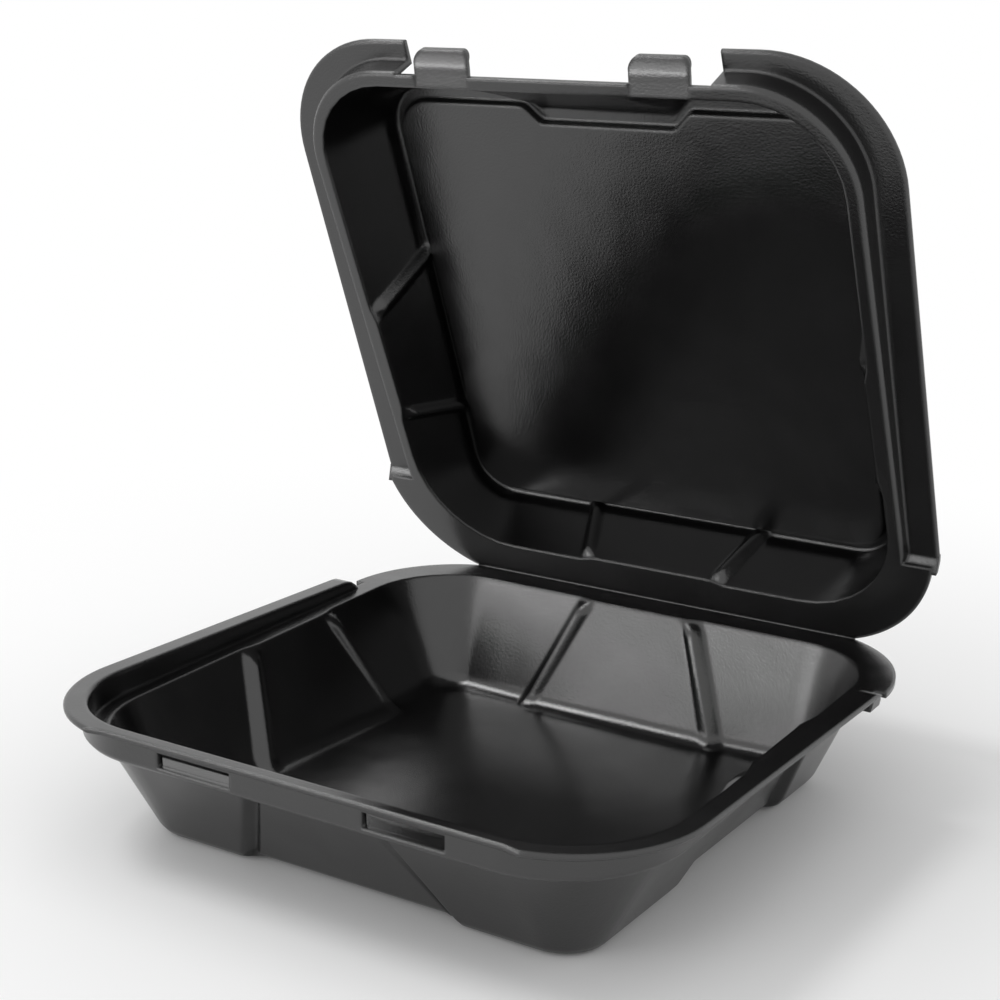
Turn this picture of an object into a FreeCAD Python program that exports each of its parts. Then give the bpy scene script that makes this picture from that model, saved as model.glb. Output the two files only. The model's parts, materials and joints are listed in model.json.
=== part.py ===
"""Hinged foam meal box, thermoformed from one sheet: a square tray and a lid joined along the back edge.

Millimetres. X runs across the front, Y runs from the front to the hinge, Z is up. The origin is on the
table, below the middle of the tray's rim. The lid is drawn closed on the tray and then swung open.
"""
import os
import math
import FreeCAD
import Part
from FreeCAD import Vector

# Foam sheet
SHEET = 2.0
WALL_ACROSS = 2.2

# Tilted ledge plane that the lid's bead rests on: its height above the middle and its rise per mm of depth
LEDGE_Z = 41.75
LEDGE_RISE = 0.0341

# Outlines of the tray: half width, front edge, back edge, front corner radius, back corner radius
FOOT = (85.2, -85.2, 90.7, 14.0, 14.0)
LEDGE_OUTER = (105.2, -105.2, 105.7, 35.2, 35.2)
RIM_HALF = 117.5
RIM_RADIUS = 47.5

# Tray rim
LIP_TOP = 48.0
LIP_FRONT = -114.5
LIP_FRONT_HALF = 76.0
LIP_FRONT_EASE = 14.0
BAND_OUTER_IN = 5.8
BAND_INNER_IN = 8.0
BAND_DRAFT = 0.6
BAND_END = 57.5
BAND_RAMP = 7.0
FLANGE_HALF = 115.2
FLANGE_BACK = 119.4
FLANGE_RADIUS = 48.0
FLANGE_START = 71.5
HINGE_GAP = 0.15

# Slots in the front band that take the lid's tabs
SLOT_FROM = 25.3
SLOT_TO = 54.8
SLOT_LOW = 38.9
SLOT_HIGH = 43.9
SLOT_OVERCUT = 2.0

# Rounded foot and floor edges: height above the floor, inset, and further inset of the middle panels
FOOT_EDGE = ((0.0, 4.4, 2.6), (0.5, 2.3, 1.8), (1.7, 0.8, 0.7), (4.2, 0.0, 0.0))
FLOOR_EDGE = ((0.0, 5.0, 0.8), (0.6, 2.6, 0.5), (2.0, 0.9, 0.2), (4.6, 0.0, 0.0))

# Stiffening ribs: grooves outside and ridges inside, two on each wall with a set-in panel between them
RIB_DEPTH = 4.2
RIB_HALF = 3.6
RIDGE_HALF = 5.3
RIB_TOP_GAP = 23.0
RIB_FOOT_GAP = 41.3
RIB_SIDE_FOOT_GAP = 38.0
TRAY_SIDE_CENTRE = 12.0
PANEL_IN_TOP = 1.6
PANEL_IN_FOOT = 3.6
RIB_SHAPE = ((0.0, 0.0), (0.28, 0.12), (0.55, 0.66), (0.84, 1.0),
             (1.16, 1.0), (1.45, 0.66), (1.72, 0.12), (2.0, 0.0))
CORNER_FACETS = 8

# Hinge axis and lid pose
HINGE_Y = 116.0
HINGE_Z = LEDGE_Z + LEDGE_RISE * HINGE_Y + 0.1
LID_OPEN = 67.4

# Lid
LID_HALF = 120.0
LID_FRONT = -115.8
LID_RADIUS = 45.0
LID_FLANGE_Z = 48.3
LID_STEP_IN = 9.1
LID_BEAD_LIFT = 0.3
LID_BEAD_EDGE = (105.2, -105.2, 104.5, 35.2, 42.0)
LID_TOP_EDGE = (96.4, -90.2, 98.6, 20.0, 20.0)
LID_TOP = 76.0
LID_PANEL_SINK = 3.0
LID_PANEL = (89.8, -82.2, 92.0, 14.0, 14.0)
LID_FLANGE_HALF = 119.3
LID_FLANGE_RADIUS = 53.0
LID_SIDE_CENTRE = 18.7
LID_RIB_TOP_GAP = 36.0
LID_RIB_BACK_GAP = 37.5
LID_RIB_BACK_RIM_GAP = 28.5
LID_RIB_RIM_GAP = 23.2
LID_RIB_DEPTH = 3.4
LID_RIB_HALF = 2.8
LID_RIDGE_HALF = 4.6
FINGER_HALF = 30.5
FINGER_DEPTH = 6.5
FINGER_SIDE = 4.5
LID_GAP_HALF = 61.5
LID_STUB = 0.3
LID_MID_EDGE_IN = 10.2
LID_GAP_REACH = 8.0
LID_BRIM_END = 73.0
LID_BRIM_RAMP = 5.0

# Lid tabs
TAB_FROM = 31.3
TAB_TO = 53.3
TAB_LINE = ((-103.4, 38.6), (-109.0, 40.1), (-111.9, 40.7), (-115.2, 43.3))
TAB_CORNER = 3.0

FAR = 200.0


def ledge(offset=0.0):
    """The tilted ledge plane, moved up by an offset: height over the middle and rise per mm of depth."""
    return (LEDGE_Z + offset, LEDGE_RISE)


def level(z):
    """A level plane."""
    return (z, 0.0)


def between(a, b, u):
    """Values part of the way from one tuple to another."""
    return tuple(p + (q - p) * u for p, q in zip(a, b))


def shrink(outline, d):
    """An outline moved inwards all round."""
    hx, yf, yb, rf, rb = outline
    return (hx - d, yf + d, yb - d, max(rf - d, 1.0), max(rb - d, 1.0))


def rim(inset):
    """The square rim outline moved inwards."""
    return shrink((RIM_HALF, -RIM_HALF, RIM_HALF, RIM_RADIUS, RIM_RADIUS), inset)


def groove(start, along, inward, half, deep, rise):
    """Points of one rib across a wall, from the plain wall to a panel set in by the rise, or back from it."""
    base = max(-rise, 0.0)
    points = []
    for s, share in RIB_SHAPE:
        side = base + rise * (0.0 if s < 1.0 else 1.0)
        if deep > max(base, base + rise):
            depth = side + (deep - side) * share
        else:
            depth = base + rise * s * s * (3.0 - s) / 4.0
        points.append(start + along * (s * half) + inward * depth)
    return points


def turn(end, along, inward, radius, facets):
    """Points round the corner that follows a side."""
    middle = end + inward * radius
    angles = [math.pi / 2.0 * i / facets for i in range(facets + 1)]
    return [middle + (along * math.sin(a) - inward * math.cos(a)) * radius for a in angles]


def four_sides(outline):
    """Each side of a rounded rectangle: name, start, end, next corner's radius, direction and inward normal."""
    hx, yf, yb, rf, rb = outline
    return (
        ("right", Vector(hx, yf + rf, 0), Vector(hx, yb - rb, 0), rb, Vector(0, 1, 0), Vector(-1, 0, 0)),
        ("back", Vector(hx - rb, yb, 0), Vector(rb - hx, yb, 0), rb, Vector(-1, 0, 0), Vector(0, -1, 0)),
        ("left", Vector(-hx, yb - rb, 0), Vector(-hx, yf + rf, 0), rf, Vector(0, -1, 0), Vector(1, 0, 0)),
        ("front", Vector(rf - hx, yf, 0), Vector(hx - rf, yf, 0), rf, Vector(1, 0, 0), Vector(0, 1, 0)),
    )


def on_plane(points, plane):
    """Flat points set on a plane: height over the middle and rise per mm of depth."""
    return [Vector(p.x, p.y, plane[0] + plane[1] * p.y) for p in points]


def ribbed_ring(outline, plane, ribs):
    """Points round a rounded rectangle with ribs on its sides: centre, gap, half width, depth, panel."""
    points = []
    for name, start, end, radius, along, inward in four_sides(outline):
        if name in ribs:
            centre, gap, half, deep, panel = ribs[name]
            middle = Vector(start.x, centre, 0) if name in ("left", "right") else Vector(centre, start.y, 0)
            points += groove(middle - along * (gap + half), along, inward, half, deep, panel)
            points += groove(middle + along * (gap - half), along, inward, half, deep, -panel)
        points += turn(end, along, inward, radius, CORNER_FACETS)
    return on_plane(points, plane)


def flat_faces(a, b, c, d):
    """One flat four-sided face, or two triangles where the corners don't lie on a plane."""
    normal = (b - a).cross(c - a)
    if abs(normal.normalize().dot(d - a)) < 1e-7:
        return [Part.Face(Part.makePolygon([a, b, c, d, a]))]
    return [Part.Face(Part.makePolygon(corners)) for corners in ([a, b, c, a], [a, c, d, a])]


def stack(sections):
    """Solid through a stack of ribbed outlines."""
    rings = [ribbed_ring(outline, plane, ribs) for outline, plane, ribs in sections]
    faces = [Part.Face(Part.makePolygon(ring + ring[:1])) for ring in (rings[0], rings[-1])]
    for low, high in zip(rings, rings[1:]):
        for i in range(len(low)):
            j = (i + 1) % len(low)
            faces += flat_faces(low[i], low[j], high[j], high[i])
    solid = Part.makeSolid(Part.makeShell(faces))
    if solid.Volume < 0:
        solid.reverse()
    return solid


def smooth_outline(outline, plane):
    """Closed rounded rectangle on a plane, with true arcs at its corners."""
    edges = []
    for name, start, end, radius, along, inward in four_sides(outline):
        edges.append(Part.makeLine(*on_plane((start, end), plane)))
        edges.append(Part.Arc(*on_plane(turn(end, along, inward, radius, 2), plane)).toShape())
    return Part.Wire(edges)


def plain(sections):
    """Solid through a stack of plain rounded outlines."""
    return Part.makeLoft([smooth_outline(outline, plane) for outline, plane in sections], True, True)


def block(x0, x1, y0, y1, z0, z1):
    """Box between two corners."""
    return Part.makeBox(x1 - x0, y1 - y0, z1 - z0, Vector(x0, y0, z0))


def across(points, x0, x1):
    """Solid with a side profile of (y, z) points, running across from x0 to x1."""
    corners = [Vector(x0, y, z) for y, z in points]
    face = Part.Face(Part.makePolygon(corners + corners[:1]))
    return face.extrude(Vector(x1 - x0, 0, 0))


def mirrored(shape):
    """The same shape on the other side of the middle."""
    return shape.mirror(Vector(0, 0, 0), Vector(1, 0, 0))


def one_solid(shape):
    """The largest solid of a result, cleaned of split faces."""
    solids = sorted(shape.Solids, key=lambda s: s.Volume)
    return solids[-1].removeSplitter()


def tray_ribs(u, deep, half, more=0.0):
    """Ribs of the four tray walls at a height from 0 at the foot to 1 at the ledge."""
    panel = PANEL_IN_FOOT + (PANEL_IN_TOP - PANEL_IN_FOOT) * u + more
    gap = RIB_FOOT_GAP + (RIB_TOP_GAP - RIB_FOOT_GAP) * u
    side_gap = RIB_SIDE_FOOT_GAP + (RIB_TOP_GAP - RIB_SIDE_FOOT_GAP) * u
    side = (TRAY_SIDE_CENTRE, side_gap, half, deep, panel)
    end = (0.0, gap, half, deep, panel)
    return {"right": side, "left": side, "front": end, "back": end}


def wall_stack(foot, top, base_z, top_plane, edge, half, deep, over):
    """Solid inside a tray wall: rounded at the foot, ribbed, with the ribs ending below the ledge."""
    height = top_plane[0] - base_z
    sections = []
    for dz, inset, more in edge:
        u = dz / height
        outline = shrink(between(foot, top, u), inset)
        sections.append((outline, (base_z + dz, LEDGE_RISE * u), tray_ribs(u, deep, half, more)))
    for u, share in ((0.86, 1.0), (0.93, 0.75), (0.975, 0.3), (1.0, 0.0)):
        plane = (base_z + height * u, LEDGE_RISE * u)
        sections.append((between(foot, top, u), plane, tray_ribs(u, deep * share, half)))
    if over:
        sections.append((top, (top_plane[0] + over, LEDGE_RISE), tray_ribs(1.0, 0.0, half)))
    return stack(sections)


def make_tray():
    """Tray: ribbed walls, flat floor, tilted ledge, upright band and flat lip."""
    foot_in = shrink(FOOT, WALL_ACROSS)
    ledge_in = shrink(LEDGE_OUTER, WALL_ACROSS)
    outer = wall_stack(FOOT, LEDGE_OUTER, 0.0, ledge(-SHEET), FOOT_EDGE, RIB_HALF, RIB_DEPTH, SHEET / 2)
    start = between(foot_in, ledge_in, SHEET / LEDGE_Z)
    cavity = wall_stack(start, ledge_in, SHEET, ledge(), FLOOR_EDGE, RIDGE_HALF, RIB_DEPTH, 0.2)
    shelf = plain([
        (rim(8.6), ledge(-SHEET)),
        (rim(6.9), ledge(-SHEET * 0.7)),
        (rim(6.0), ledge(-SHEET * 0.1)),
        (rim(BAND_OUTER_IN + 0.1), ledge()),
        (rim(BAND_OUTER_IN), level(LIP_TOP - SHEET)),
        (rim(BAND_OUTER_IN), level(LIP_TOP - 0.1)),
    ])
    lip = plain([
        (rim(0.6), level(LIP_TOP - SHEET)),
        (rim(0.0), level(LIP_TOP - SHEET * 0.7)),
        (rim(0.0), level(LIP_TOP - SHEET * 0.3)),
        (rim(0.6), level(LIP_TOP)),
    ])
    straight = -LIP_FRONT_HALF, LIP_FRONT_HALF
    outside = [Vector(straight[0], LIP_FRONT, 0), Vector(straight[1], LIP_FRONT, 0),
               Vector(straight[1] + LIP_FRONT_EASE, -RIM_HALF, 0), Vector(FAR, -RIM_HALF - LIP_FRONT_EASE, 0),
               Vector(FAR, -FAR, 0), Vector(-FAR, -FAR, 0), Vector(-FAR, -RIM_HALF - LIP_FRONT_EASE, 0),
               Vector(straight[0] - LIP_FRONT_EASE, -RIM_HALF, 0)]
    lip = lip.cut(Part.Face(Part.makePolygon(outside + outside[:1])).extrude(Vector(0, 0, FAR)))
    end = BAND_END + BAND_RAMP
    top = LIP_TOP
    low = LEDGE_Z + LEDGE_RISE * end
    reach = ((-FAR, 0.0), (-FAR, FAR), (BAND_END, FAR), (BAND_END, top), (BAND_END + 3.2, top - 0.5),
             (end - 1.4, top - 2.2), (end, low + 0.1), (end, 0.0))
    upstand = shelf.fuse(lip).common(across(reach, -FAR, FAR))
    flange_line = (FLANGE_HALF, -FLANGE_HALF, FLANGE_BACK, RIM_RADIUS, FLANGE_RADIUS)
    back = plain([(flange_line, ledge(-SHEET)), (flange_line, ledge())])
    seat = (RIM_HALF - 6.0, -RIM_HALF + 6.0, FLANGE_BACK, RIM_RADIUS - 6.0, FLANGE_RADIUS - 3.7)
    back = back.common(block(-FAR, FAR, FLANGE_START, HINGE_Y - HINGE_GAP, 0.0, FAR))
    join = plain([(seat, ledge(-SHEET)), (seat, ledge())])
    join = join.common(block(-FAR, FAR, end - 12.0, FLANGE_START + 6.0, 0.0, FAR))
    above = plain([
        (rim(BAND_INNER_IN + BAND_DRAFT), ledge()),
        (rim(BAND_INNER_IN), level(LIP_TOP - 0.8)),
        (rim(BAND_INNER_IN - 0.8), level(LIP_TOP + 0.01)),
        (rim(BAND_INNER_IN - 0.8), level(FAR)),
    ])
    above = above.common(block(-FAR, FAR, -FAR, end + 0.2, 0.0, FAR + 1.0))
    slot = block(SLOT_FROM, SLOT_TO, -RIM_HALF + BAND_OUTER_IN - SLOT_OVERCUT,
                 -RIM_HALF + BAND_INNER_IN + SLOT_OVERCUT, SLOT_LOW, SLOT_HIGH)
    fill = plain([(rim(2.0), ledge(-SHEET)), (rim(0.6), level(LIP_TOP))])
    fill = fill.common(block(-FAR, FAR, BAND_END - 1.0, end, 0.0, FAR)).common(across(reach, -FAR, FAR))
    body = outer.fuse([upstand, fill, back, join])
    body = body.cut([above, slot, mirrored(slot)])
    return one_solid(body.cut(cavity))


def lid_ribs(u, deep, half, finger):
    """Ribs of the lid walls and the finger recess, at a height from 0 at the bead to 1 at the top."""
    back_gap = LID_RIB_BACK_RIM_GAP + (LID_RIB_BACK_GAP - LID_RIB_BACK_RIM_GAP) * u
    side_gap = LID_RIB_RIM_GAP + (LID_RIB_TOP_GAP - LID_RIB_RIM_GAP) * u
    panel = PANEL_IN_TOP
    side = (LID_SIDE_CENTRE, side_gap, half, deep, panel)
    back = (0.0, back_gap, half, deep, panel)
    front = (0.0, FINGER_HALF, FINGER_SIDE, 0.0, FINGER_DEPTH * finger)
    return {"right": side, "left": side, "front": front, "back": back}


def lid_stack(bead, top, low_plane, top_z, half, edge):
    """Solid inside the lid's wall, from the bead to the flat ring round the panel."""
    height = top_z - low_plane[0]
    sections = [(bead, (low_plane[0] - 3.0, LEDGE_RISE), lid_ribs(0.0, 0.0, half, 0.0))]
    steps = ((0.0, 0.0, 0.0), (0.04, 0.4, 0.04), (0.10, 0.8, 0.1), (0.18, 1.0, 0.18), (0.9, 1.0, 0.9))
    for u, share, finger in steps:
        plane = (low_plane[0] + height * u, LEDGE_RISE * (1.0 - u))
        ribs = lid_ribs(u, LID_RIB_DEPTH * share, half, finger)
        sections.append((between(bead, top, u), plane, ribs))
    for u, inset in edge:
        plane = (low_plane[0] + height * u, LEDGE_RISE * (1.0 - u))
        ribs = lid_ribs(u, LID_RIB_DEPTH, half, u)
        sections.append((shrink(between(bead, top, u), inset), plane, ribs))
    return stack(sections)


def panel_stack(outline, z0, z1, slope):
    """Panel step with the finger recess in its front edge."""
    ribs = {"front": (0.0, FINGER_HALF, FINGER_SIDE, 0.0, FINGER_DEPTH)}
    return stack([(outline, level(z0), ribs), (shrink(outline, slope), level(z1), ribs)])


def tab_void():
    """Space below one tab, where the bead is lifted into the tab's root."""
    (y0, z0), (y1, z1) = TAB_LINE[0], TAB_LINE[1]
    return across(((y0, z0), (y1, z1), (y1, z0 - 3.0), (y0, z0 - 3.0)), TAB_FROM, TAB_TO)


def tab():
    """One tab: a tongue from the bead that turns up at its tip, with rounded tip corners."""
    over = [(y, z + SHEET) for y, z in TAB_LINE]
    plate = across(list(TAB_LINE) + over[::-1], TAB_FROM, TAB_TO)
    tip = TAB_LINE[-1][0]
    mask = block(TAB_FROM, TAB_TO, tip, TAB_LINE[0][0], 0.0, LID_TOP)
    upright = [e for e in mask.Edges if all(abs(v.Y - tip) < 0.01 for v in e.Vertexes) and e.BoundBox.ZLength > 1.0]
    return plate.common(mask.makeFillet(TAB_CORNER, upright))


def make_lid():
    """Lid, drawn closed: flange, step and bead, ribbed wall, flat ring and set-in panel, and two tabs."""
    low = ledge(LID_BEAD_LIFT)
    bead_top = ledge(LID_BEAD_LIFT + SHEET)
    bead_in = shrink(LID_BEAD_EDGE, WALL_ACROSS)
    top_in = shrink(LID_TOP_EDGE, WALL_ACROSS)
    flange_line = (LID_HALF, LID_FRONT, LID_HALF, LID_RADIUS, LID_RADIUS)
    flange = plain([
        (shrink(flange_line, 0.5), level(LID_FLANGE_Z)),
        (flange_line, level(LID_FLANGE_Z + SHEET * 0.3)),
        (flange_line, level(LID_FLANGE_Z + SHEET * 0.7)),
        (shrink(flange_line, 0.5), level(LID_FLANGE_Z + SHEET)),
    ])
    step = plain([
        (rim(LID_STEP_IN + 1.2), low),
        (rim(LID_STEP_IN + 0.2), ledge(LID_BEAD_LIFT + 1.0)),
        (rim(LID_STEP_IN - 0.4), level(LID_FLANGE_Z)),
        (rim(LID_STEP_IN - 0.4), level(LID_FLANGE_Z + SHEET)),
    ])
    channel = plain([
        (rim(LID_STEP_IN + SHEET + 0.4), bead_top),
        (rim(LID_STEP_IN + SHEET - 0.3), level(LID_FLANGE_Z + SHEET)),
        (rim(LID_STEP_IN + SHEET - 0.3), level(FAR)),
    ])
    brim = flange.fuse(step)
    run = LID_BRIM_END + LID_BRIM_RAMP
    low_z = LEDGE_Z + LEDGE_RISE * run + LID_BEAD_LIFT
    top_z = LID_FLANGE_Z + SHEET
    reach = ((-FAR, 0.0), (-FAR, FAR), (LID_BRIM_END, FAR), (LID_BRIM_END, top_z),
             (LID_BRIM_END + LID_BRIM_RAMP * 0.4, top_z - 0.8), (run, low_z + SHEET), (run, 0.0))
    fill = plain([(flange_line, low), (flange_line, level(top_z))])
    fill = fill.common(block(-FAR, FAR, LID_BRIM_END - 0.5, run, 0.0, FAR))
    fill = fill.cut(across(((LID_BRIM_END - 1.0, 0.0), (LID_BRIM_END - 1.0, LID_FLANGE_Z),
                            (LID_BRIM_END, LID_FLANGE_Z), (run, low_z), (run, 0.0)), -FAR, FAR))
    brim = brim.fuse(fill).common(across(reach, -FAR, FAR))
    mid_z = LEDGE_Z + LEDGE_RISE * LID_FRONT + LID_BEAD_LIFT
    mid_y = -RIM_HALF + LID_MID_EDGE_IN
    brim = brim.cut(block(-LID_GAP_HALF, LID_GAP_HALF, -FAR, mid_y + LID_GAP_REACH, mid_z + SHEET + LID_STUB, FAR))
    brim = brim.cut(block(-LID_GAP_HALF, LID_GAP_HALF, -FAR, mid_y, 0.0, FAR))
    seat_line = (LID_FLANGE_HALF, -RIM_HALF + LID_STEP_IN + 1.2, FLANGE_BACK, 38.0, LID_FLANGE_RADIUS)
    seat = plain([(seat_line, low), (seat_line, bead_top)])
    seat = seat.common(block(-FAR, FAR, LID_BRIM_END + LID_BRIM_RAMP * 0.5, HINGE_Y - HINGE_GAP, 0.0, FAR))
    neck = plain([(rim(LID_STEP_IN + 1.2), low), (rim(LID_STEP_IN + 0.6), bead_top)])
    neck = neck.common(block(-FAR, FAR, BAND_END, LID_BRIM_END + LID_BRIM_RAMP, 0.0, FAR))
    dome = lid_stack(LID_BEAD_EDGE, LID_TOP_EDGE, low, LID_TOP, LID_RIB_HALF,
                     ((0.97, 0.4), (1.0, 1.6)))
    dome = dome.cut(plain([(rim(-20.0), ledge(-20.0)), (rim(-20.0), low)]))
    hollow = lid_stack(bead_in, top_in, low, LID_TOP - SHEET, LID_RIDGE_HALF, ((0.98, 0.3), (1.0, 1.0)))
    panel = panel_stack(shrink(LID_PANEL, -1.2), LID_TOP, LID_TOP - SHEET - LID_PANEL_SINK, 1.2)
    recess = panel_stack(shrink(LID_PANEL, 0.4), LID_TOP + 0.1, LID_TOP - LID_PANEL_SINK, 1.4)
    lid = brim.cut(channel).fuse([seat, neck, dome])
    tongue = tab()
    lid = lid.cut([tab_void(), mirrored(tab_void())]).fuse([tongue, mirrored(tongue)])
    lid = lid.cut(hollow.cut(panel)).cut(recess)
    lid = one_solid(lid)
    lid.rotate(Vector(0, HINGE_Y, HINGE_Z), Vector(1, 0, 0), -LID_OPEN)
    return lid


def main():
    """Make both halves and write them."""
    os.makedirs("parts", exist_ok=True)
    for name, make in (("base_tray", make_tray), ("lid", make_lid)):
        make().exportStep("parts/" + name + ".step")


main()
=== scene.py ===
"""Looks of a black foam meal box: skins of the tray and lid, the crease web between them, and the studio."""
import json
import math

import bmesh
import bpy
from mathutils import Matrix, Vector


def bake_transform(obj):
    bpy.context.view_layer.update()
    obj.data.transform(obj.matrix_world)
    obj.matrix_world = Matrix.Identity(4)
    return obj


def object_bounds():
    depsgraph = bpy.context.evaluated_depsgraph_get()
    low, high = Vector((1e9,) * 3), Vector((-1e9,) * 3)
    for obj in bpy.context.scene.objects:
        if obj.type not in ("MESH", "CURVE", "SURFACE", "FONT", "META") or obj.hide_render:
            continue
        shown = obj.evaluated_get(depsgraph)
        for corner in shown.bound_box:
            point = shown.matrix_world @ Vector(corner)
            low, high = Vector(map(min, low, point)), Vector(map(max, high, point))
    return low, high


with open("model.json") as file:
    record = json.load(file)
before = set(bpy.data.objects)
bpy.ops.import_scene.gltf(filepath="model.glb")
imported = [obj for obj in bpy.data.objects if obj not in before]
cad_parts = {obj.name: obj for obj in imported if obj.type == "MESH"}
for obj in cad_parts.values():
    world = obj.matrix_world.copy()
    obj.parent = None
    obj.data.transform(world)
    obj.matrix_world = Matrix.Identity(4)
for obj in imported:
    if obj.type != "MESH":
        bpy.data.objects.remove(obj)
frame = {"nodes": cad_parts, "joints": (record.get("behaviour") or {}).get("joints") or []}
CAD_BOX = [list(corner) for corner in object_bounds()]

bl_info = {
    "name": "Foam meal box looks",
    "version": (1, 0, 0),
    "blender": (4, 5, 0),
    "location": "3D View > Sidebar > Meal Box",
    "description": "Dresses the packed foam meal box and sets up its studio",
    "category": "Object",
}


# Foam skin: waves per metre of the gloss clouds and colour specks, the noise levels between which each
# changes, and by how much
SKIN = "black foam skin"
FOAM_IOR = 1.59
CLOUD_SCALE = 28.0
CLOUD_LEVELS = (0.3, 0.7)
CLOUD_SPREAD = (-0.03, 0.04)
SPECK_SCALE = 1400.0
SPECK_LEVELS = (0.35, 0.72)
SPECK_SPREAD = (0.75, 1.5)
SOFT_SAMPLES = 6

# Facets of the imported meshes: distance under which split corners are joined, and steps round an edge
WELD_REACH = 0.000005
EDGE_STEPS = 2

# Cross section of the crease (back, up) from the hinge line, in metres, at rest
CREASE_LINE = ((-0.00013, -0.0002), (0.00012, 0.00020), (0.0010, 0.00060), (0.00185, 0.00092),
               (0.00165, -0.0002), (0.0010, -0.0012), (-0.00013, -0.0019))
# Steps along the crease's length
CREASE_STEPS = 40

# Soft boxes: name, place, point aimed at, width and height in metres, and the setting with the power
SOFT_BOXES = (
    ("front left box", (-0.84, -1.27, 0.38), (0.0, 0.10, 0.20), (0.9, 0.7), "front_power"),
    ("low strip", (-0.80, -1.20, 0.17), (0.0, 0.08, 0.20), (0.9, 0.12), "strip_power"),
    ("overhead box", (-0.85, -0.30, 1.50), (0.0, 0.03, 0.15), (0.6, 0.45), "top_power"),
)
TABLE_HALF = 3.0
TABLE_GAP = 0.0002
SENSOR_MM = 36.0
CLIP = (0.01, 50.0)


class FoamSettings(bpy.types.PropertyGroup):
    """Colour and finish of the foam."""
    colour: bpy.props.FloatVectorProperty(
        name="Foam colour", description="Colour of the dyed foam", subtype="COLOR", size=3,
        min=0.0, max=1.0, default=(0.0012, 0.0011, 0.0012))
    gloss: bpy.props.FloatProperty(
        name="Roughness", description="Roughness of the pressed skin", default=0.23, min=0.0, max=1.0)
    shine: bpy.props.FloatProperty(
        name="Shine", description="Strength of the skin's reflections", default=0.72, min=0.0, max=1.0)
    cell: bpy.props.FloatProperty(
        name="Cell size", description="Size of the pebbles that the foam cells leave in the skin",
        default=0.0008, min=0.0002, max=0.01, unit="LENGTH")
    relief: bpy.props.FloatProperty(
        name="Relief", description="Height of the pebbles", default=0.00006, min=0.0, max=0.001,
        unit="LENGTH")
    wave: bpy.props.FloatProperty(
        name="Wave length", description="Length of the slow waves in the sheet", default=0.022,
        min=0.002, max=0.2, unit="LENGTH")
    swell: bpy.props.FloatProperty(
        name="Wave height", description="Height of the slow waves", default=0.0003, min=0.0, max=0.005,
        unit="LENGTH")
    edge: bpy.props.FloatProperty(
        name="Forming radius", description="Width of the rolled edges", default=0.0009,
        min=0.0, max=0.004, unit="LENGTH")
    soften: bpy.props.FloatProperty(
        name="Edge softness", description="Reach of the soft turn of light over a fold", default=0.0018,
        min=0.0, soft_max=0.004, subtype="DISTANCE", unit="LENGTH")
    edge_angle: bpy.props.FloatProperty(
        name="Edge angle", description="Two faces that meet at more than this get a rolled edge",
        default=math.radians(32.0), subtype="ANGLE")


class CreaseSettings(bpy.types.PropertyGroup):
    """The crease between tray and lid."""
    half: bpy.props.FloatProperty(
        name="Half length", description="Half of the crease's length", default=0.0846, min=0.01, max=0.2,
        unit="LENGTH")


class StudioSettings(bpy.types.PropertyGroup):
    """Camera, lamps and floor."""
    camera_place: bpy.props.FloatVectorProperty(
        name="Camera", description="Where the camera stands", subtype="TRANSLATION", size=3,
        default=(0.33352, -0.51917, 0.27002))
    azimuth: bpy.props.FloatProperty(
        name="Azimuth", description="Direction the camera looks from, about the vertical",
        default=math.radians(31.74), subtype="ANGLE")
    elevation: bpy.props.FloatProperty(
        name="Elevation", description="Angle that the camera looks down by",
        default=math.radians(14.45), subtype="ANGLE")
    roll: bpy.props.FloatProperty(
        name="Roll", description="Tilt of the picture", default=math.radians(1.09), subtype="ANGLE")
    reach: bpy.props.FloatProperty(
        name="Lens", description="Focal length over the picture's width", default=1.8788, min=0.5, max=8.0)
    shift: bpy.props.FloatVectorProperty(
        name="Shift", description="Camera shift over the picture's width", size=2, default=(-0.0306, 0.0004))
    floor_colour: bpy.props.FloatVectorProperty(
        name="Floor colour", description="Colour of the table", subtype="COLOR", size=3,
        min=0.0, max=1.0, default=(0.92, 0.92, 0.92))
    table_near: bpy.props.FloatProperty(
        name="Table edge near", description="Where the table starts to run out into white", default=0.16,
        min=0.0, max=5.0, unit="LENGTH")
    table_far: bpy.props.FloatProperty(
        name="Table edge far", description="Where the table has become plain white", default=0.55,
        min=0.0, max=5.0, unit="LENGTH")
    wall_light: bpy.props.FloatProperty(
        name="Wall light", description="Strength of the white walls as a light", default=0.80, min=0.0,
        max=2.0)
    front_power: bpy.props.FloatProperty(
        name="Front box", description="Power of the front left soft box", default=3.4, min=0.0, max=50.0,
        unit="POWER")
    strip_power: bpy.props.FloatProperty(
        name="Low strip", description="Power of the low strip in front of the box", default=3.0, min=0.0,
        max=50.0, unit="POWER")
    top_power: bpy.props.FloatProperty(
        name="Overhead box", description="Power of the overhead soft box", default=7.0, min=0.0, max=50.0,
        unit="POWER")


def node(tree, kind, place, **values):
    """One shader node at a place, with its properties set."""
    made = tree.nodes.new(kind)
    made.location = place
    for name, value in values.items():
        setattr(made, name, value)
    return made


def noise(tree, spot, place, scale, detail):
    """Socket with a noise of so many waves per metre in the piece's own space."""
    made = node(tree, "ShaderNodeTexNoise", spot)
    made.inputs["Scale"].default_value = scale
    made.inputs["Detail"].default_value = detail
    tree.links.new(place.outputs["Object"], made.inputs["Vector"])
    return made.outputs["Fac"]


def bump(tree, spot, normal, height, distance):
    """Socket with a normal that a height map tilts further."""
    made = node(tree, "ShaderNodeBump", spot)
    made.inputs["Distance"].default_value = distance
    tree.links.new(height, made.inputs["Height"])
    tree.links.new(normal, made.inputs["Normal"])
    return made.outputs["Normal"]


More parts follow.
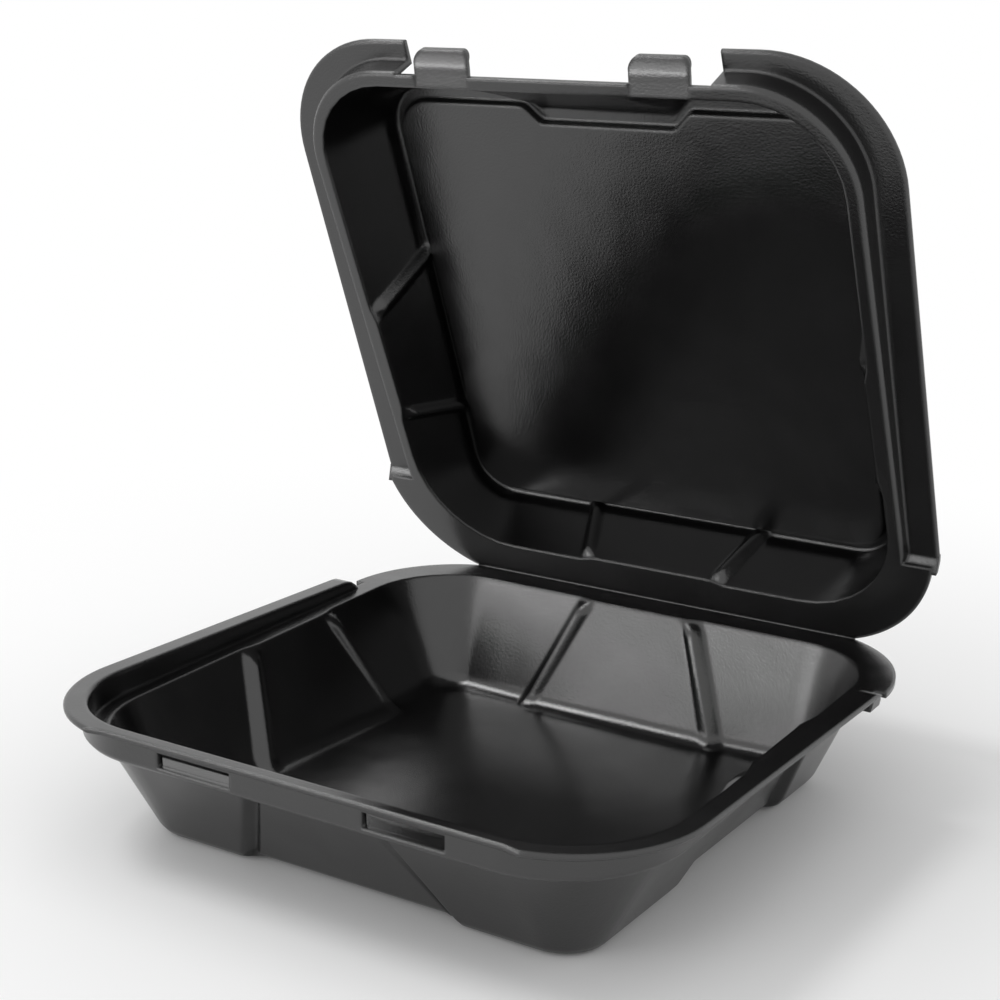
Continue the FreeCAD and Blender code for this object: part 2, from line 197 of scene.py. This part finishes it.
def foam_normal(tree, place, settings):
    """Normal of the skin: folds softened, then slow waves, then fine pebbles."""
    soft = node(tree, "ShaderNodeBevel", (-400, -700), samples=SOFT_SAMPLES)
    soft.inputs["Radius"].default_value = settings.soften
    wave = noise(tree, (-800, -500), place, 1.0 / settings.wave, 1.0)
    pebble = noise(tree, (-800, -200), place, 1.0 / settings.cell, 2.0)
    waved = bump(tree, (-100, -400), soft.outputs["Normal"], wave, settings.swell)
    return bump(tree, (200, -200), waved, pebble, settings.relief)


def foam_tint(tree, place, settings):
    """Foam colour with faint darker and lighter specks."""
    tint = node(tree, "ShaderNodeValToRGB", (-500, 500))
    for stop, position, share in zip(tint.color_ramp.elements, SPECK_LEVELS, SPECK_SPREAD):
        stop.position = position
        stop.color = (*[c * share for c in settings.colour], 1.0)
    tree.links.new(noise(tree, (-800, 500), place, SPECK_SCALE, 1.0), tint.inputs["Fac"])
    return tint.outputs["Color"]


def foam_gloss(tree, place, settings):
    """Roughness of the skin, which swirls a little from place to place."""
    rough = node(tree, "ShaderNodeMapRange", (-500, 200))
    for end, level, change in zip(("Min", "Max"), CLOUD_LEVELS, CLOUD_SPREAD):
        rough.inputs["From " + end].default_value = level
        rough.inputs["To " + end].default_value = settings.gloss + change
    tree.links.new(noise(tree, (-800, 200), place, CLOUD_SCALE, 4.0), rough.inputs["Value"])
    return rough.outputs["Result"]


def foam_material(name, settings):
    """Glossy pressed foam skin: fine pebbles, slow waves, faint specks and swirls of gloss."""
    material = bpy.data.materials.new(name)
    material.use_nodes = True
    tree = material.node_tree
    tree.nodes.clear()
    out = node(tree, "ShaderNodeOutputMaterial", (900, 0))
    skin = node(tree, "ShaderNodeBsdfPrincipled", (600, 0))
    place = node(tree, "ShaderNodeTexCoord", (-1100, 0))
    tree.links.new(foam_tint(tree, place, settings), skin.inputs["Base Color"])
    tree.links.new(foam_gloss(tree, place, settings), skin.inputs["Roughness"])
    tree.links.new(foam_normal(tree, place, settings), skin.inputs["Normal"])
    tree.links.new(skin.outputs["BSDF"], out.inputs["Surface"])
    skin.inputs["IOR"].default_value = FOAM_IOR
    skin.inputs["Specular IOR Level"].default_value = settings.shine
    return material


def step(group, kind, place, **values):
    """One geometry node at a place, with its properties set."""
    made = group.nodes.new(kind)
    made.location = place
    for name, value in values.items():
        setattr(made, name, value)
    return made


def geometry_group(name):
    """A new geometry node group, with its input node and its output node."""
    group = bpy.data.node_groups.new(name, "GeometryNodeTree")
    group.interface.new_socket("Geometry", in_out="INPUT", socket_type="NodeSocketGeometry")
    group.interface.new_socket("Geometry", in_out="OUTPUT", socket_type="NodeSocketGeometry")
    group.is_modifier = True
    return group, step(group, "NodeGroupInput", (-600, 0)), step(group, "NodeGroupOutput", (600, 0))


def weld_group():
    """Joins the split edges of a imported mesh, so that its forming radii can be rolled."""
    group, start, end = geometry_group("weld facets")
    weld = step(group, "GeometryNodeMergeByDistance", (-200, 0))
    weld.inputs["Distance"].default_value = WELD_REACH
    plain = step(group, "GeometryNodeRemoveAttribute", (100, 0))
    plain.inputs["Name"].default_value = "custom_normal"
    group.links.new(start.outputs[0], weld.inputs["Geometry"])
    group.links.new(weld.outputs["Geometry"], plain.inputs["Geometry"])
    group.links.new(plain.outputs["Geometry"], end.inputs[0])
    return group


def shade_group(angle):
    """Smooth shading over the facets of a curve, with a crisp line at every fold past an angle."""
    group, start, end = geometry_group("shade by angle")
    smooth = step(group, "GeometryNodeSetShadeSmooth", (-200, 0), domain="FACE")
    bend = step(group, "GeometryNodeInputMeshEdgeAngle", (-400, -250))
    sharp = step(group, "FunctionNodeCompare", (-150, -250), operation="GREATER_THAN", data_type="FLOAT")
    sharp.inputs[1].default_value = angle
    crisp = step(group, "GeometryNodeSetShadeSmooth", (150, 0), domain="EDGE")
    crisp.inputs["Shade Smooth"].default_value = False
    link = group.links.new
    link(start.outputs[0], smooth.inputs["Geometry"])
    link(smooth.outputs["Geometry"], crisp.inputs["Geometry"])
    link(bend.outputs["Unsigned Angle"], sharp.inputs[0])
    link(sharp.outputs["Result"], crisp.inputs["Selection"])
    link(crisp.outputs["Geometry"], end.inputs[0])
    return group


def dress(name, material, settings, weld, shade):
    """Gives a CAD node its skin, rolled edges and smooth shading."""
    part = frame["nodes"][name]
    for slot in part.material_slots:
        slot.link = "OBJECT"
        slot.material = material
    part.modifiers.new("weld facets", "NODES").node_group = weld
    roll = part.modifiers.new("forming radius", "BEVEL")
    roll.width = settings.edge
    roll.segments = EDGE_STEPS
    roll.limit_method = "ANGLE"
    roll.angle_limit = settings.edge_angle
    roll.use_clamp_overlap = True
    part.modifiers.new("shade by angle", "NODES").node_group = shade
    part.modifiers.new("flat faces stay flat", "WEIGHTED_NORMAL").keep_sharp = True


class MEALBOX_OT_skins(bpy.types.Operator):
    """Give the tray and the lid their foam skin"""
    bl_idname = "mealbox.skins"
    bl_label = "Foam skins"

    def execute(self, context):
        settings = context.scene.mealbox_foam
        material = foam_material(SKIN, settings)
        weld, shade = weld_group(), shade_group(settings.edge_angle)
        for name in ("base_tray", "lid"):
            dress(name, material, settings, weld, shade)
        return {"FINISHED"}


class MEALBOX_OT_crease(bpy.types.Operator):
    """Make the pressed crease that joins the tray and the lid along the back"""
    bl_idname = "mealbox.crease"
    bl_label = "Crease"

    def execute(self, context):
        settings = context.scene.mealbox_crease
        skin = bpy.data.materials.get(SKIN)
        if skin is None:
            raise RuntimeError("The crease takes the foam skin, so Foam skins comes first")
        hinge = next(j for j in frame["joints"] if j["name"] == "lid_hinge")
        middle = Vector(hinge["pos_m"])
        made = bmesh.new()
        rows = []
        for i in range(CREASE_STEPS + 1):
            x = settings.half * (2.0 * i / CREASE_STEPS - 1.0)
            rows.append([made.verts.new((x, middle.y + y, middle.z + z)) for y, z in CREASE_LINE])
        count = len(CREASE_LINE)
        for a, b in zip(rows, rows[1:]):
            for k in range(count):
                made.faces.new((a[k], a[(k + 1) % count], b[(k + 1) % count], b[k]))
        made.faces.new(rows[0][::-1])
        made.faces.new(rows[-1])
        bmesh.ops.recalc_face_normals(made, faces=made.faces)
        mesh = bpy.data.meshes.new("crease")
        made.to_mesh(mesh)
        made.free()
        crease = bpy.data.objects.new("crease", mesh)
        context.scene.collection.objects.link(crease)
        mesh.materials.append(skin)
        mesh.shade_smooth()
        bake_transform(crease)
        return {"FINISHED"}


def camera_axes(studio):
    """Right, up and backward directions of the camera, with its roll."""
    a, e = studio.azimuth, studio.elevation
    back = Vector((math.sin(a) * math.cos(e), -math.cos(a) * math.cos(e), math.sin(e)))
    right = Vector((math.cos(a), math.sin(a), 0.0))
    up = back.cross(right)
    c, s = math.cos(studio.roll), math.sin(studio.roll)
    return right * c + up * s, up * c - right * s, back


def lamp(name, place, aim, size, power):
    """One white soft box aimed at a point."""
    data = bpy.data.lights.new(name, "AREA")
    data.shape = "RECTANGLE"
    data.size, data.size_y = size
    data.energy = power
    made = bpy.data.objects.new(name, data)
    bpy.context.scene.collection.objects.link(made)
    made.location = place
    made.rotation_mode = "QUATERNION"
    made.rotation_quaternion = (Vector(aim) - Vector(place)).to_track_quat("-Z", "Y")


def white_level(tree, studio):
    """Socket with 1 for what is seen, directly, in a reflection or through glass, and less as a light."""
    rays = node(tree, "ShaderNodeLightPath", (-900, -200))
    seen = node(tree, "ShaderNodeMath", (-600, -200), operation="MAXIMUM")
    seen_through = node(tree, "ShaderNodeMath", (-400, -200), operation="MAXIMUM")
    level = node(tree, "ShaderNodeMapRange", (-200, -200))
    level.inputs["To Min"].default_value = studio.wall_light
    level.inputs["To Max"].default_value = 1.0
    link = tree.links.new
    link(rays.outputs["Is Camera Ray"], seen.inputs[0])
    link(rays.outputs["Is Glossy Ray"], seen.inputs[1])
    link(seen.outputs[0], seen_through.inputs[0])
    link(rays.outputs["Is Transmission Ray"], seen_through.inputs[1])
    link(seen_through.outputs[0], level.inputs["Value"])
    return level.outputs["Result"]


def surroundings(scene, studio):
    """White walls: plain white to the eye and in reflections, and softer as a light."""
    world = bpy.data.worlds.new("white walls")
    scene.world = world
    world.use_nodes = True
    tree = world.node_tree
    tree.nodes.clear()
    out = node(tree, "ShaderNodeOutputWorld", (600, 0))
    sky = node(tree, "ShaderNodeBackground", (300, 0))
    sky.inputs["Color"].default_value = (1.0, 1.0, 1.0, 1.0)
    tree.links.new(white_level(tree, studio), sky.inputs["Strength"])
    tree.links.new(sky.outputs["Background"], out.inputs["Surface"])


def table_material(studio):
    """Matt white table that takes the shadow near the box and runs out into the white walls."""
    material = bpy.data.materials.new("white table")
    material.use_nodes = True
    tree = material.node_tree
    tree.nodes.clear()
    out = node(tree, "ShaderNodeOutputMaterial", (900, 0))
    both = node(tree, "ShaderNodeMixShader", (600, 0))
    matt = node(tree, "ShaderNodeBsdfDiffuse", (300, 100))
    matt.inputs["Color"].default_value = (*studio.floor_colour, 1.0)
    far = node(tree, "ShaderNodeEmission", (300, -100))
    place = node(tree, "ShaderNodeTexCoord", (-600, 300))
    length = node(tree, "ShaderNodeVectorMath", (-400, 300), operation="LENGTH")
    run_out = node(tree, "ShaderNodeMapRange", (-100, 300), interpolation_type="SMOOTHSTEP")
    run_out.inputs["From Min"].default_value = studio.table_near
    run_out.inputs["From Max"].default_value = studio.table_far
    link = tree.links.new
    link(place.outputs["Object"], length.inputs[0])
    link(length.outputs["Value"], run_out.inputs["Value"])
    link(run_out.outputs["Result"], both.inputs["Fac"])
    link(white_level(tree, studio), far.inputs["Strength"])
    link(matt.outputs["BSDF"], both.inputs[1])
    link(far.outputs["Emission"], both.inputs[2])
    link(both.outputs["Shader"], out.inputs["Surface"])
    return material


def lay_table(scene, studio):
    """Square table just under the box."""
    mesh = bpy.data.meshes.new("table")
    corners = [(x * TABLE_HALF, y * TABLE_HALF, 0.0) for x, y in ((-1, -1), (1, -1), (1, 1), (-1, 1))]
    mesh.from_pydata(corners, [], [(0, 1, 2, 3)])
    table = bpy.data.objects.new("table", mesh)
    scene.collection.objects.link(table)
    table.location = (0.0, 0.0, CAD_BOX[0][2] - TABLE_GAP)
    mesh.materials.append(table_material(studio))


def set_camera(scene, studio):
    """Camera at the place and angle of the settings, as the scene's own."""
    data = bpy.data.cameras.new("camera")
    camera = bpy.data.objects.new("camera", data)
    scene.collection.objects.link(camera)
    turn = Matrix(camera_axes(studio)).transposed()
    camera.matrix_world = Matrix.Translation(Vector(studio.camera_place)) @ turn.to_4x4()
    data.sensor_width = SENSOR_MM
    data.lens = SENSOR_MM * studio.reach
    data.shift_x, data.shift_y = studio.shift
    data.clip_start, data.clip_end = CLIP
    scene.camera = camera


class MEALBOX_OT_studio(bpy.types.Operator):
    """Set the table, the white surroundings, the lamps and the camera"""
    bl_idname = "mealbox.studio"
    bl_label = "Studio"

    def execute(self, context):
        scene = context.scene
        studio = scene.mealbox_studio
        lay_table(scene, studio)
        surroundings(scene, studio)
        for name, place, aim, size, power in SOFT_BOXES:
            lamp(name, place, aim, size, getattr(studio, power))
        set_camera(scene, studio)
        scene.view_settings.view_transform = "Standard"
        return {"FINISHED"}


class MEALBOX_PT_panel(bpy.types.Panel):
    """Sidebar panel with the steps that dress the meal box"""
    bl_idname = "MEALBOX_PT_panel"
    bl_label = "Meal Box"
    bl_space_type = "VIEW_3D"
    bl_region_type = "UI"
    bl_category = "Meal Box"

    def draw(self, context):
        layout = self.layout
        scene = context.scene
        for settings in (scene.mealbox_foam, scene.mealbox_crease, scene.mealbox_studio):
            for name in settings.__annotations__:
                layout.prop(settings, name)
        for operator in STEPS:
            layout.operator(operator.bl_idname)


STEPS = (MEALBOX_OT_skins, MEALBOX_OT_crease, MEALBOX_OT_studio)
CLASSES = (FoamSettings, CreaseSettings, StudioSettings) + STEPS + (MEALBOX_PT_panel,)


def register():
    """Register the classes and the settings."""
    for made in CLASSES:
        bpy.utils.register_class(made)
    bpy.types.Scene.mealbox_foam = bpy.props.PointerProperty(type=FoamSettings)
    bpy.types.Scene.mealbox_crease = bpy.props.PointerProperty(type=CreaseSettings)
    bpy.types.Scene.mealbox_studio = bpy.props.PointerProperty(type=StudioSettings)


def unregister():
    """Take the classes and the settings away again."""
    del bpy.types.Scene.mealbox_foam
    del bpy.types.Scene.mealbox_crease
    del bpy.types.Scene.mealbox_studio
    for made in reversed(CLASSES):
        bpy.utils.unregister_class(made)


def main():
    """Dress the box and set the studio."""
    register()
    bpy.ops.mealbox.skins()
    bpy.ops.mealbox.crease()
    bpy.ops.mealbox.studio()


if __name__ == "__main__":
    main()
